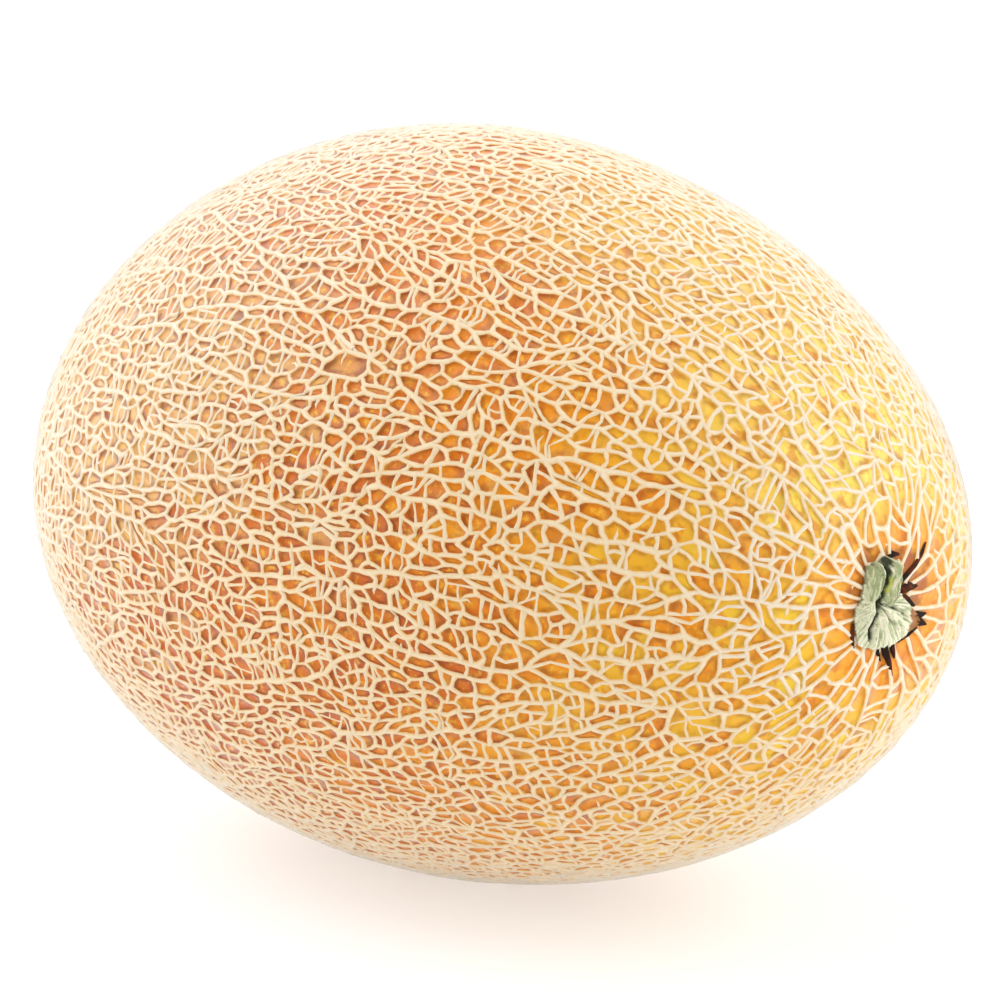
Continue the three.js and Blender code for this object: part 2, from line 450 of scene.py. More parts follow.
class NetGrower:
    """Grows the net: large meshes first, then finer and finer strands that part them."""

    # how the area over which a mesh is parted changes over the fruit, as shares; reaches are in radians
    OPEN_BY_STALK, STALK_REACH = 5.5, 0.2
    FINER_BY_SCAR, SCAR_REACH = 0.3, 0.3
    FINER_BELOW, FINER_AT_BLOSSOM = 0.25, 0.25
    PATCHINESS, PATCHES = 0.3, 6.0
    OPEN_WAY = (0.8, -0.6)  # y and z of the way to the side where the net by the stalk is open
    # how much longer meshes are by the stalk: on the open side, and opposite
    LONGER_OPEN, LONGER_OPPOSITE, LONGER_REACH = 1.1, -0.3, 0.5
    # spreads of a strand's tilt in radians, and of its place and of a mesh's length and area, as shares
    TILT_SPREAD, PLACE_SPREAD, SHAPE_SPREAD, AREA_SPREAD = 0.22, 0.07, 0.2, 0.25
    # how thick a main strand is across the fruit, what it gains along it, and what it loses by the stalk
    MAIN_STRENGTH, MAIN_GAIN, MAIN_LOSS, LOSS_REACH = 0.55, 0.45, 0.45, 0.3
    # how thick the others are, from the first level to the finest, and across and along the fruit
    LEVEL_STRENGTH = (1.0, 0.8, 0.62, 0.47, 0.36, 0.28, 0.22, 0.2)
    RUNG_STRENGTH, RAIL_STRENGTH = 0.8, 1.2
    MAIN_SPREAD, LEVEL_SPREAD = (0.8, 1.1), (0.6, 1.25)  # from the least share of all that to the most
    MIN_SIDE = 0.24  # the shortest side that parting leaves, as a share of the root of a mesh's area
    CORNER_SIDE = 1.3  # a side under this many shortest ones is met at a corner
    STRAY, FINE_STRAY = 5.5, 13.0  # how close together the bends are by which strands stray
    FINE_PUSH = 0.9  # how far the fine ones push, as a share of the others
    FINE_FROM = Vector((7, 3, 5))  # where in the noise they start
    LIMBER_LENGTH = 2.6 * MM  # longer strands by the stalk are made limber
    LIMBER_REACH = 0.4
    FIRMNESS = 0.6  # the power of its strength by which a strand pulls
    LEAST_ROUND = 0.012  # a mesh less round than this is evened out
    FEWEST_SIDES = 4  # of a mesh, once short sides are closed
    BOW_SPREAD = 0.12  # of a strand's middle sideways, as a share of its length

    def __init__(self, skin, net):
        self.skin, self.net = skin, net
        self.random = np.random.default_rng(net.seed)
        noise.seed_set(net.seed + 1)
        self.web = Web(main_seeds(skin, net, self.random))
        self.bed_cell = 0

    @staticmethod
    def open_side(point):
        """1 on the lower right of the fruit as seen from the stem end, where the net is open, 0 opposite."""
        y, z = NetGrower.OPEN_WAY
        return 0.5 + 0.5 * (y * point[1] + z * point[2]) / max(1e-6, math.hypot(point[1], point[2]))

    def target_area(self, point):
        """The area over which a mesh there is parted, in square metres."""
        from_stem = float(self.skin.fruit_angle(point))
        from_blossom = math.pi - from_stem
        area = self.net.mesh_area * MM * MM
        by_stalk = math.exp(-(from_stem / self.STALK_REACH) ** 2)
        area *= 1 + self.OPEN_BY_STALK * self.open_side(point) * by_stalk
        area *= 1 - self.FINER_BY_SCAR * math.exp(-(from_blossom / self.SCAR_REACH) ** 2)
        area *= (1 + self.FINER_BELOW * min(0.0, point[2])) * (1 + self.FINER_AT_BLOSSOM * point[0])
        area *= 1 + self.PATCHINESS * noise.noise(Vector(point) * self.PATCHES)
        return area * self.random.lognormal(0, self.AREA_SPREAD)

    def grow(self):
        web = self.web
        for loop in web.cells.values():
            for a, b in sides_of(loop):
                if a < b:
                    web.strength[a, b] = self.main_strength(web.points[a], web.points[b])
        waiting = [cell for cell in web.cells if cell != self.bed_cell]
        while waiting:
            cell = waiting.pop()
            flat, along, across, middle = web.flat(cell)
            area, centre = shoelace(flat)
            if self.skin.real_area(abs(area), middle) > self.target_area(middle):
                waiting += self.part(cell, flat, centre, along, across, middle, abs(area))

    def main_strength(self, start, end):
        """How thick a strand between two large meshes is: less across the fruit, and by the stalk."""
        lengthwise = abs(unit(end - start) @ flat_frame(unit(start))[0])
        by_stalk = math.exp(-(float(self.skin.fruit_angle(start)) / self.LOSS_REACH) ** 2)
        strength = (self.MAIN_STRENGTH + self.MAIN_GAIN * lengthwise) * (1 - self.MAIN_LOSS * by_stalk)
        return strength * self.random.uniform(*self.MAIN_SPREAD)

    def part(self, cell, flat, centre, along, across, middle, area):
        """Parts a cell across its longer way, and returns the two new cells, or none if it can't be done."""
        web, random = self.web, self.random
        extent = np.ptp(flat, axis=0)
        by_stalk = math.exp(-(float(self.skin.fruit_angle(middle)) / self.LONGER_REACH) ** 2)
        wanted = self.net.shape * (
            1 + (self.LONGER_OPEN * self.open_side(middle) + self.LONGER_OPPOSITE) * by_stalk)
        slender = extent[0] * self.skin.stretch_at(middle) / (extent[1] * wanted)
        is_rung = slender > random.lognormal(0, self.SHAPE_SPREAD)
        tilt = random.normal(0, self.TILT_SPREAD) + (0.0 if is_rung else math.pi / 2)
        longer = np.array([math.cos(tilt), math.sin(tilt)])
        reach = np.ptp((flat - centre) @ longer)
        start = centre + longer * reach * random.normal(0, self.PLACE_SPREAD)
        ends = crossings(flat, start, longer)
        if ends is None:
            return []
        loop = web.cells[cell]
        least = self.MIN_SIDE * math.sqrt(area)
        ends = [self.end_on(flat, loop, crossing, least) for crossing in ends]
        if ends[0] == ends[1]:
            return []
        if all(isinstance(end, int) for end in ends):
            if abs(loop.index(ends[0]) - loop.index(ends[1])) in (1, len(loop) - 1):
                return []
        points = [end if isinstance(end, int) else
                  web.part_side(end[0], end[1], self.lift(end[2], along, across, middle)) for end in ends]
        level = min(web.level[cell] + 1, len(self.LEVEL_STRENGTH) - 1)
        strength = self.LEVEL_STRENGTH[level] * random.uniform(*self.LEVEL_SPREAD)
        strength *= self.RUNG_STRENGTH if is_rung else self.RAIL_STRENGTH
        return web.part_cell(cell, points, strength)

    def end_on(self, flat, loop, crossing, least):
        """Where a new strand ends on a side: a corner's number, or the side's two points and a new place."""
        i, j, share = crossing
        size = float(np.linalg.norm(flat[j] - flat[i]))
        if size < self.CORNER_SIDE * least:
            return loop[i] if share < 0.5 else loop[j]
        edge = min(0.5, least / size)
        share = min(max(share, edge), 1 - edge)
        return loop[i], loop[j], flat[i] + (flat[j] - flat[i]) * share

    @staticmethod
    def lift(place, along, across, middle):
        """A point of a cell's plane, put back on the sphere."""
        up = math.sqrt(max(0.0, 1 - place @ place))
        return along * place[0] + across * place[1] + middle * up

    # ---- settling ----
    def arrays(self):
        """The web's points, and its sides with their strengths."""
        sides = np.array(sorted(self.web.strength))
        strengths = np.array([self.web.strength[a, b] for a, b in sides])
        return np.array(self.web.points), sides, strengths

    def real_lengths(self, points, sides):
        """Lengths of the sides on the fruit, in metres."""
        angles = np.arccos(np.clip(points[sides[:, 0], 0], -1, 1))
        area_scale = np.interp(angles, self.skin.on_sphere, self.skin.area_scale)
        return np.linalg.norm(points[sides[:, 0]] - points[sides[:, 1]], axis=1) * np.sqrt(area_scale)

    def stray(self):
        """Lets long strands wander."""
        mesh = math.sqrt(self.net.mesh_area * MM * MM) / self.skin.half_width
        for point_number, point in enumerate(self.web.points):
            place = Vector(point)
            push = noise.noise_vector(place * self.STRAY)
            push += noise.noise_vector(place * self.FINE_STRAY + self.FINE_FROM) * self.FINE_PUSH
            push -= place * push.dot(place)
            self.web.points[point_number] = unit(point + np.array(push) * mesh * self.net.wander)

    def limber(self, rounds=3):
        """Adds points to the long strands by the stalk, so that they can wander."""
        for _ in range(rounds):
            points, sides, _ = self.arrays()
            lengths = self.real_lengths(points, sides)
            from_stem = self.skin.fruit_angle(points[sides[:, 0]])
            for a, b in sides[(lengths > self.LIMBER_LENGTH) & (from_stem < self.LIMBER_REACH)]:
                self.web.part_side(int(a), int(b), points[a] + points[b])

    def tauten(self, rounds, pull=0.45):
        """Pulls the strands taut: a strong strand pulls a knot further than a fine one."""
        points, sides, strengths = self.arrays()
        weight = strengths ** self.FIRMNESS
        a, b = sides.T
        for _ in range(rounds):
            pulled = np.zeros_like(points)
            total = np.zeros(len(points))
            np.add.at(pulled, a, points[b] * weight[:, None])
            np.add.at(pulled, b, points[a] * weight[:, None])
            np.add.at(total, a, weight)
            np.add.at(total, b, weight)
            points = unit(points * (1 - pull) + pulled / np.maximum(total, 1e-9)[:, None] * pull)
        self.web.points = list(points)

    def untangle(self, rounds=30, pull=0.5):
        """Evens out the meshes that straying has squeezed to slivers or turned inside out."""
        web = self.web
        beside = {}
        for a, b in web.strength:
            beside.setdefault(a, []).append(b)
            beside.setdefault(b, []).append(a)
        waiting = set(web.cells)
        for _ in range(rounds):
            squeezed = [cell for cell in sorted(waiting) if self.roundness(cell) < self.LEAST_ROUND]
            waiting = set(squeezed)
            for cell in squeezed:
                loop = web.cells[cell]
                waiting.update(web.owner[b, a] for a, b in sides_of(loop))
                for p in loop:
                    middle = np.mean([web.points[q] for q in beside[p]], axis=0)
                    web.points[p] = unit(web.points[p] * (1 - pull) + middle * pull)

    def roundness(self, cell):
        """A mesh's area as a share of its outline's square: 0.08 for a circle."""
        flat = self.web.flat(cell)[0]
        return shoelace(flat)[0] / np.linalg.norm(np.roll(flat, -1, axis=0) - flat, axis=1).sum() ** 2

    def knot(self, shortest):
        """Joins the two ends of each side shorter than this, in metres."""
        web = self.web
        points, sides, _ = self.arrays()
        lengths = self.real_lengths(points, sides)
        room = {cell: len(loop) for cell, loop in web.cells.items()}
        cells_at = [set() for _ in points]
        for cell, loop in web.cells.items():
            for p in loop:
                cells_at[p].add(cell)
        joined = {}
        for i in np.argsort(lengths):
            a, b = (int(p) for p in sides[i])
            if lengths[i] > shortest:
                break
            shared = {web.owner[a, b], web.owner[b, a]}
            if a in joined or b in joined or cells_at[a] & cells_at[b] != shared:
                continue
            if min(room[cell] for cell in shared) <= self.FEWEST_SIDES:
                continue
            for cell in shared:
                room[cell] -= 1
            joined[a], joined[b] = a, a
            web.points[a] = unit(points[a] + points[b])
        self.rename(joined)

    def rename(self, names):
        """Gives points their new numbers, and drops the sides that this closes."""
        web = self.web
        strengths, web.strength, web.owner = web.strength, {}, {}
        for cell, loop in web.cells.items():
            renamed = [names.get(p, p) for p in loop]
            loop[:] = [p for i, p in enumerate(renamed) if p != renamed[i - 1]]
            for a, b in sides_of(loop):
                web.owner[a, b] = cell
        for (a, b), strength in strengths.items():
            a, b = names.get(a, a), names.get(b, b)
            if a != b:
                web.strength[ordered(a, b)] = strength

    def bend(self, triangles):
        """Adds points in the middle of the longest sides, up to a number of triangles in the whole net."""
        web = self.web
        # a mesh has three triangles for each point round it, and a new point is round two meshes
        spare = triangles - 3 * sum(len(loop) for loop in web.cells.values())
        points, sides, _ = self.arrays()
        lengths = self.real_lengths(points, sides)
        order = np.argsort(-lengths)[:max(0, spare // 6)]
        for i in order:
            a, b = (int(p) for p in sides[i])
            ahead = web.points[b] - web.points[a]
            aside = np.cross(web.points[a], ahead)
            middle = (web.points[a] + web.points[b]) / 2 + aside * self.random.normal(0, self.BOW_SPREAD)
            web.part_side(a, b, middle)


# ---- The net's surface ----

SHARPEST = 0.45  # sharper corners than this, as the sine of half of them, are moved in no further
MOST_SMOOTHINGS = 10
LEAST_SWEEP = 0.01  # of twice a side's triangle with the middle, as a share of the mean triangle


def inset(flat, before, after):
    """A flat polygon with each side moved in; before and after are how far, for the sides at each corner."""
    ahead = np.roll(flat, -1, axis=0) - flat
    ahead /= np.maximum(np.linalg.norm(ahead, axis=1, keepdims=True), 1e-9)
    inward = np.stack([-ahead[:, 1], ahead[:, 0]], axis=1)
    both = inward + np.roll(inward, 1, axis=0)
    both /= np.maximum(np.linalg.norm(both, axis=1, keepdims=True), 1e-6)
    share = np.maximum(SHARPEST, (both * inward).sum(axis=1))
    return flat + both * ((before + after) / 2 / share)[:, None]


def smoothed(ring, share):
    return ring * (1 - share) + (np.roll(ring, 1, axis=0) + np.roll(ring, -1, axis=0)) * (share / 2)


def open_ring(ring, spare):
    """The ring, smoothed until every point of it is seen from its middle, and that middle."""
    for _ in range(MOST_SMOOTHINGS):
        area, centre = shoelace(ring)
        spokes = ring - centre
        after = np.roll(spokes, -1, axis=0)
        sweep = spokes[:, 0] * after[:, 1] - spokes[:, 1] * after[:, 0]
        if area > 0 and sweep.min() > LEAST_SWEEP * area / len(ring):
            return ring, centre
        ring = smoothed(ring, 0.5)
    return spare, shoelace(spare)[1]


class NetSurface:
    """Points, faces and values of the fruit's netted surface, still flat on the smooth skin.

    Each side of a mesh of the net is the crest of a strand. Between the strands lies a pan of skin: a ring of
    foot points along its edge, and its middle."""

    ROUNDING = 0.22  # how far a pan's corners are rounded
    ROUGHNESS = 0.35  # how uneven a strand's bank is, as a share of its width
    ROOM_SHARE = 0.62  # the most of a mesh that its banks may take, as a share of its inner radius
    SMALL_PAN = 0.35  # size of the pan in a mesh that is too crooked for one, as a share of the mesh's
    # where the pan value is low, at the feet of banks and in small pans, the material paints shade
    RIM_PAN = 0.5  # the pan value at the foot of a bank; it rises to 1 in the middle of a large pan
    LARGE_PAN = 3.2 * MM  # across the smallest pan whose middle counts as 1
    SWAY_REACH, SWAY_START = 60 * MM, 14 * MM  # from the stub: where strands stop swaying, and start in full
    SWAYS = ((9 * MM, 2.6), (4 * MM, 0.9))  # lengths of the waves, and how far they push, in millimetres

    def __init__(self, skin, net, web, random):
        self.skin, self.net, self.web, self.random = skin, net, web, random
        self.faces = []
        used = sorted({point for loop in web.cells.values() for point in loop})
        self.crest = {point: number for number, point in enumerate(used)}
        base = self.swayed(skin.meet(skin.direction(np.array(web.points)[used])))
        self.places = list(base)
        strongest = np.zeros(len(base))
        for ends, strength in web.strength.items():
            for end in ends:
                strongest[self.crest[end]] = max(strongest[self.crest[end]], strength)
        # at the crest of the thinnest strand the net has 0.55 of its height, and cork that is a little thin
        self.values = {
            "height": list(0.55 + 0.45 * strongest),
            "cork": list(np.minimum(1, 0.8 + 0.3 * strongest)),
            "pan": [0.0] * len(base),
            "tint": [0.5] * len(base)}
        for cell, loop in web.cells.items():
            self.add_mesh(cell, loop, [self.crest[point] for point in loop])

    def swayed(self, places):
        """Sways the strands by the stalk from side to side."""
        stub = np.array(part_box("stem_stub")[1])
        for i, away in enumerate(np.linalg.norm(places - stub, axis=1)):
            if away < self.SWAY_REACH:
                place = Vector(places[i])
                sway = sum((noise.noise_vector(place / wave) * push for wave, push in self.SWAYS), Vector())
                start = min(1, away / self.SWAY_START)
                places[i] += np.array(sway) * MM * start * (1 - away / self.SWAY_REACH)
        return places

    def crest_line(self, loop):
        """The places on the skin under the crests of the strands round a mesh."""
        return np.array([self.places[self.crest[point]] for point in loop])

    def half_widths(self, loop):
        """Half the width of the strand along each side of a loop, for the side after each point."""
        strengths = np.array([self.web.strength[ordered(a, b)] for a, b in sides_of(loop)])
        return (self.net.fine_width + (self.net.main_width - self.net.fine_width) * strengths) / 2

    def add_mesh(self, cell, loop, crests):
        """A pan, and the banks from it up to the strands round it."""
        flat, middle, along, around = self.skin.laid_flat(self.crest_line(loop))
        area, centre = shoelace(flat)
        if area < 0:
            raise RuntimeError(f"mesh {cell} of the net is inside out")
        count = len(loop)
        half = self.half_widths(loop)
        outline = np.linalg.norm(np.roll(flat, -1, axis=0) - flat, axis=1).sum()
        tight = min(1.0, self.ROOM_SHARE * 2 * area / outline / half.mean())
        rough = tight * (1 + self.ROUGHNESS * self.random.uniform(-1, 1, count))
        ring = inset(flat, np.roll(half, 1) * rough, half * rough)
        foot, centre = open_ring(smoothed(ring, self.ROUNDING), centre + (flat - centre) * self.SMALL_PAN)
        out = np.linalg.norm(foot - centre, axis=1).mean()
        first = len(self.places)
        self.places += [middle + along * u + around * v for u, v in [*foot, centre]]
        self.values["height"] += [0.0] * (count + 1)
        self.values["cork"] += [0.0] * (count + 1)
        self.values["pan"] += [*([self.RIM_PAN] * count), min(1.0, self.RIM_PAN + out / self.LARGE_PAN)]
        self.values["tint"] += [self.random.random()] * (count + 1)
        for i in range(count):
            j = (i + 1) % count
            self.faces.append((crests[i], crests[j], first + j, first + i))
            self.faces.append((first + i, first + j, first + count))

    def mesh(self, name):
        mesh = bpy.data.meshes.new(name)
        mesh.from_pydata(self.skin.below(self.places).tolist(), [], self.faces)
        store_values(mesh, self.values)
        return mesh


class FineNet:
    """Paths over the skin for the finest strands, which part the pans or end in them as spurs."""

    STOUTEST = 0.4  # the widest that a strand may be, as a share of its length
    SPUR_ROOM = 1.7  # a pan over this many times the wanted area is parted, not left with a spur
    # widths at the start, middle and end, as shares of the pan's strand width
    STRAND_TAPER = (1.15, 0.85, 1.15)
    SPUR_TAPER = (1.15, 0.75, 0.12)
    SPUR_LENGTH = (0.5, 0.8)  # of the way across the pan
    BEND = (0.4, 0.6)  # the share of its length at which a strand bends
    SPUR_BEND, SPUR_BOW = 0.55, 0.5  # the same for a spur, and its bow as a share of a strand's
    THINNING = 0.88  # of the strand width in each half of a parted pan
    # spreads of a strand's tilt in radians, and of its shape, place, bow and width, as shares
    TILT_SPREAD, SHAPE_SPREAD, PLACE_SPREAD, BOW_SPREAD, WIDTH_SPREAD = 0.25, 0.3, 0.08, 0.12, 0.12

    def __init__(self, skin, net, grower, surface):
        self.skin, self.net, self.random = skin, net, grower.random
        self.places, self.steps, self.widths, self.tints = [], [], [], []
        share = net.fine_area / net.mesh_area
        for cell, loop in grower.web.cells.items():
            if cell == grower.bed_cell:
                continue
            flat, *plane = skin.laid_flat(surface.crest_line(loop))
            middle = unit(np.mean([grower.web.points[point] for point in loop], axis=0))
            waiting = [(flat, 1.0)]
            while waiting:
                outline, width = waiting.pop()
                area, centre = shoelace(outline)
                room = area / (grower.target_area(middle) * share)
                if room > 1:
                    waiting += self.part(outline, centre, width, plane, room < self.SPUR_ROOM)

    def part(self, outline, centre, width, plane, may_stop):
        """Parts a flat outline with a strand, and returns the two outlines. A spur doesn't part it."""
        random = self.random
        extent = np.ptp(outline, axis=0)
        is_rung = extent[0] / (extent[1] * self.net.fine_shape) > random.lognormal(0, self.SHAPE_SPREAD)
        tilt = random.normal(0, self.TILT_SPREAD) + (0.0 if is_rung else math.pi / 2)
        longer = np.array((math.cos(tilt), math.sin(tilt)))
        start = centre + longer * np.ptp(outline @ longer) * random.normal(0, self.PLACE_SPREAD)
        ends = crossings(outline, start, longer)
        if ends is None:
            return []
        if random.random() < 0.5:
            ends = ends[::-1]
        first, last = (outline[i] + (outline[j] - outline[i]) * share for i, j, share in ends)
        reach = last - first
        aside = np.array((-reach[1], reach[0])) * random.normal(0, self.BOW_SPREAD)
        width *= random.lognormal(0, self.WIDTH_SPREAD)
        if may_stop and random.random() < self.net.spurs:
            end = random.uniform(*self.SPUR_LENGTH)
            points = first, first + reach * end * self.SPUR_BEND + aside * self.SPUR_BOW, first + reach * end
            self.add_strand(points, width, self.SPUR_TAPER, plane)
            return []
        middle = first + reach * random.uniform(*self.BEND) + aside
        self.add_strand((first, middle, last), width, self.STRAND_TAPER, plane)
        (before_first, after_first, _), (before_last, after_last, _) = ends
        width *= self.THINNING
        return [(self.stretch_of(outline, after_first, before_last, (last, middle, first)), width),
                (self.stretch_of(outline, after_last, before_first, (first, middle, last)), width)]

    @staticmethod
    def stretch_of(outline, start, end, closing):
        """The points of an outline from one number round to another, closed by more points."""
        count = (end - start) % len(outline) + 1
        return np.array([*(outline[(start + i) % len(outline)] for i in range(count)), *closing])

    def add_strand(self, flat_points, width, taper, plane):
        """Adds a strand through flat points. width is a share of the finest strands' width."""
        middle, along, around = plane
        number = len(self.places)
        stoutest = self.STOUTEST * np.linalg.norm(flat_points[-1] - flat_points[0])
        self.places += [middle + along * u + around * v for u, v in flat_points]
        self.steps += [(number + i, number + i + 1) for i in range(len(flat_points) - 1)]
        self.widths += [min(width * share * self.net.finest_width, stoutest) for share in taper]
        self.tints += [self.random.random()] * len(flat_points)

    def mesh(self, name):
        return path_mesh(name, self.skin, self.skin.below(self.places), self.steps, self.widths, self.tints)


def path_mesh(name, skin, points, steps, widths, tints):
    """Paths over the skin, with the values that strands_tree thickens them by."""
    mesh = bpy.data.meshes.new(name)
    mesh.from_pydata(points.tolist(), steps, [])
    store_values(mesh, {"width": widths, "tint": tints})
    mesh.attributes.new("up", "FLOAT_VECTOR", "POINT").data.foreach_set("vector", skin.upward(points).ravel())
    return mesh


# ---- The stub of the stalk ----

def distance_to(places, path):
    """How far places of the plane are from a path of straight pieces."""
    nearest = np.full(len(places), np.inf)
    for start, end in zip(path, path[1:]):
        start, ahead = np.array(start), np.array(end) - np.array(start)
        share = np.clip((places - start) @ ahead / (ahead @ ahead), 0, 1)
        nearest = np.minimum(nearest, np.linalg.norm(places - start - share[:, None] * ahead, axis=1))
    return nearest


def near(places, path, reach):
    """1 on a path of straight pieces, falling to 0 away from it."""
    return np.exp(-(distance_to(places, path) / reach) ** 2)


def step(value, low, high):
    """A smooth step from 0 at low to 1 at high."""
    share = np.clip((value - low) / (high - low), 0, 1)
    return share * share * (3 - 2 * share)


def ripple(across, along, seed):
    """Noise that runs in streaks: fine across them, slow along them. From 0 to 1."""
    return np.array([0.5 + 0.5 * noise.noise(Vector((a, b, seed))) for a, b in zip(across, along)])


def furrows(across, along, seed):
    """Thin furrows that run in streaks: 1 in a furrow, and 0 away from it."""
    return np.exp(-((ripple(across, along, seed) - 0.5) / 0.05) ** 2)


class StubShape:
    """The dry stub, seen along the fruit's axis, in millimetres from its middle: y to the right, z up.

    The broken stalk is a fluted column that lies against the rind, with its torn end at the top. Below the
    waist it flares out in a fan of fibres, and a flap of it has split off on the left."""

    # direction round the stub, in degrees from the top towards the right, and how far its edge is
    EDGE = ((0, 9.8), (12, 9.3), (26, 9.6), (33, 7.8), (45, 4.9), (62, 4.5), (76, 4.6), (90, 5.8), (100, 7.2),
            (106, 8.4), (111, 10.1), (116, 11.4), (124, 11.4), (133, 9.8), (152, 9.2), (172, 9.0), (188, 8.8),
            (200, 9.4), (211, 9.5), (225, 10.3), (236, 9.6), (249, 9.0), (262, 8.6), (274, 8.3), (288, 6.9),
            (317, 8.2), (330, 10.1), (346, 9.7))
    WAIST = (-4.7, 1.8)  # where the fan's fibres come from
    # paths of the deep groove down the column, and of the crack, folds and flap of the fan
    GROOVE = ((-0.8, 9.8), (-2.3, 8.2), (-2.6, 5.8), (-3.3, 2.6), (-4.4, 0.2))
    CRACK = ((-4.4, 0.2), (-4.9, -1.9), (-5.5, -3.9), (-5.0, -6.0))
    FOLDS = (((-4.2, 1.4), (1.0, -0.6), (5.4, -2.8)), ((-4.4, 1.0), (-0.4, -2.4), (3.6, -5.6)),
             ((-4.6, 0.6), (-3.2, -4.0), (-2.6, -8.6)))
    FLAP = ((-8.4, -1.0), (-8.0, -8.0))
    # paths where it is still green, has dried brown, and is burnt
    FRESH = ((-2.0, 6.0), (-2.3, 4.0))
    RUSTY = ((8.4, -3.2), (9.9, -5.0), (8.2, -6.6))
    BURNT = ((11.0, -6.0), (7.2, -7.6), (4.4, -8.8))
    THINNEST = 0.35
    RIM_HEIGHT = 0.8
    FOOT_DEPTH, FOOT_SHARE = 0.6, 0.93  # how deep the foot is sunk, and its size as a share of the edge's
    ROWS = 46
    SPOKES = 264

    def __init__(self, skin):
        self.skin = skin
        low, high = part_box("stem_stub")
        self.middle = np.array(((low.y + high.y) / 2, (low.z + high.z) / 2))

    def edge(self, turn):
        """How far the ragged edge is from the middle, for directions in radians."""
        turns, reach = zip(*self.EDGE)
        ragged = np.array([0.32 * noise.noise(Vector((math.cos(t), math.sin(t), 0)) * 9) +
                           0.3 * noise.noise(Vector((math.cos(t), math.sin(t), 5)) * 24) for t in turn])
        ragged *= 1 + step(np.cos(turn), 0.8, 0.95)
        return np.interp(turn, np.radians(turns), reach, period=2 * math.pi) + ragged

    def relief(self, places):
        """How high the stub is over the rind at these places, and the values that colour it."""
        y, z = places.T
        # the column: round across its leaning axis, with creases, knobs and a torn end
        axis = 0.09 * z - 1.8
        across = (y - axis) / (5.0 - 0.05 * z)
        round_top = np.sqrt(np.clip(1.02 - across ** 2, 0, 1))
        torn = 2.2 * (ripple(y * 1.3, z * 0.3, 3.0) - 0.5) * step(z, 6.0, 9.0)
        column = round_top * (3.2 + 0.26 * np.clip(z, 0, 9)) * step(z, -3.0, 1.5) + torn
        creases = 0.7 * furrows(across * 3.4, z * 0.1, 4.0) + 0.45 * furrows(across * 9, z * 0.16, 5.0)
        knobs = ripple(y * 0.8, z * 0.6, 10.0) + 0.6 * ripple(y * 2.0, z * 1.1, 11.0) - 0.8
        column += (0.5 * (ripple(across * 5, z * 0.12, 6.0) - 0.5) + 1.1 * knobs - creases) * round_top
        # the fan: it thins out from the waist, and is pleated and split along its fibres
        away = places - np.array(self.WAIST)
        reach = np.hypot(*away.T)
        bearing = np.arctan2(away[:, 0], -away[:, 1])
        fan = (3.2 - 0.21 * reach) * step(z, 3.4, -0.4) + self.RIM_HEIGHT
        splits = 0.6 * furrows(bearing * 5, reach * 0.1, 8.0) + 0.4 * furrows(bearing * 14, reach * 0.16, 9.0)
        pleats = 0.25 * np.sin(bearing * 9 + 1) + 0.5 * (ripple(bearing * 14, reach * 0.2, 7.0) - 0.5)
        fan += (pleats - splits) * step(reach, 0.5, 4.0)
        is_column = step(column - fan, -0.5, 0.6)
        height = np.maximum(column, fan - 1.1 * near(places, self.FLAP, 1.8))
        groove, crack = near(places, self.GROOVE, 0.5), near(places, self.CRACK, 0.5)
        folds = np.max([near(places, fold, 0.4) for fold in self.FOLDS], axis=0)
        height -= 2.2 * groove + 2.0 * crack + 0.6 * folds
        furrow = np.where(is_column > 0.5, 2 * creases, splits)
        streak = np.where(is_column > 0.5, ripple(across * 24, z * 0.3, 1.0),
                          ripple(bearing * 27, reach * 0.3, 2.0))
        return np.maximum(height, self.THINNEST), {
            "column": is_column,
            # painted shade: streak and groove grow darker in the furrows, and groove in the groove, crack and
            # folds
            "streak": 0.5 + 1.5 * (streak - 0.5) - 0.2 * furrow,
            "groove": np.clip(np.maximum(groove, crack) + 0.45 * folds + 0.25 * furrow, 0, 1),
            "burnt": near(places, self.BURNT, 0.6),
            "rusty": near(places, self.RUSTY, 1.6),
            "fresh": near(places, self.FRESH, 0.9)}

    def mesh(self, name):
        turn = np.arange(self.SPOKES) * 2 * math.pi / self.SPOKES
        outward = np.stack([np.sin(turn), np.cos(turn)], axis=1)
        edge = self.edge(turn)[:, None] * outward
        shares = np.sin(np.linspace(0, math.pi / 2, self.ROWS + 1))[1:]
        places = np.concatenate([[(0.0, 0.0)], *(edge * share for share in shares)])
        height, values = self.relief(places)
        out = np.concatenate([[0.0], np.repeat(shares, self.SPOKES)])
        height = self.RIM_HEIGHT + (height - self.RIM_HEIGHT) * (1 - out ** 14)
        places = np.concatenate([places, edge * self.FOOT_SHARE, [(0.0, 0.0)]]) * MM + self.middle
        height = np.concatenate([height, np.full(self.SPOKES + 1, -self.FOOT_DEPTH)])
        points = self.skin.at_stem(places)
        points[:, 0] += height * MM
        mesh = bpy.data.meshes.new(name)
        mesh.from_pydata(points.tolist(), [], self.faces())
        foot = np.zeros(self.SPOKES + 1)
        store_values(mesh, {value: np.concatenate([numbers, foot]) for value, numbers in values.items()})
        mesh.polygons.foreach_set("use_smooth", [True] * len(mesh.polygons))
        return mesh

    def faces(self):
        """Rings of faces from the middle of the top, over the edge, to the middle of the foot."""
        count = self.SPOKES
        ring = [range(1 + row * count, 1 + (row + 1) * count) for row in range(self.ROWS + 1)]
        last = 1 + (self.ROWS + 1) * count
        around = [(i, (i + 1) % count) for i in range(count)]
        faces = [(0, ring[0][j], ring[0][i]) for i, j in around]
        for inner, outer in zip(ring, ring[1:]):
            faces += [(inner[i], inner[j], outer[j], outer[i]) for i, j in around]
        return faces + [(last, ring[-1][i], ring[-1][j]) for i, j in around]


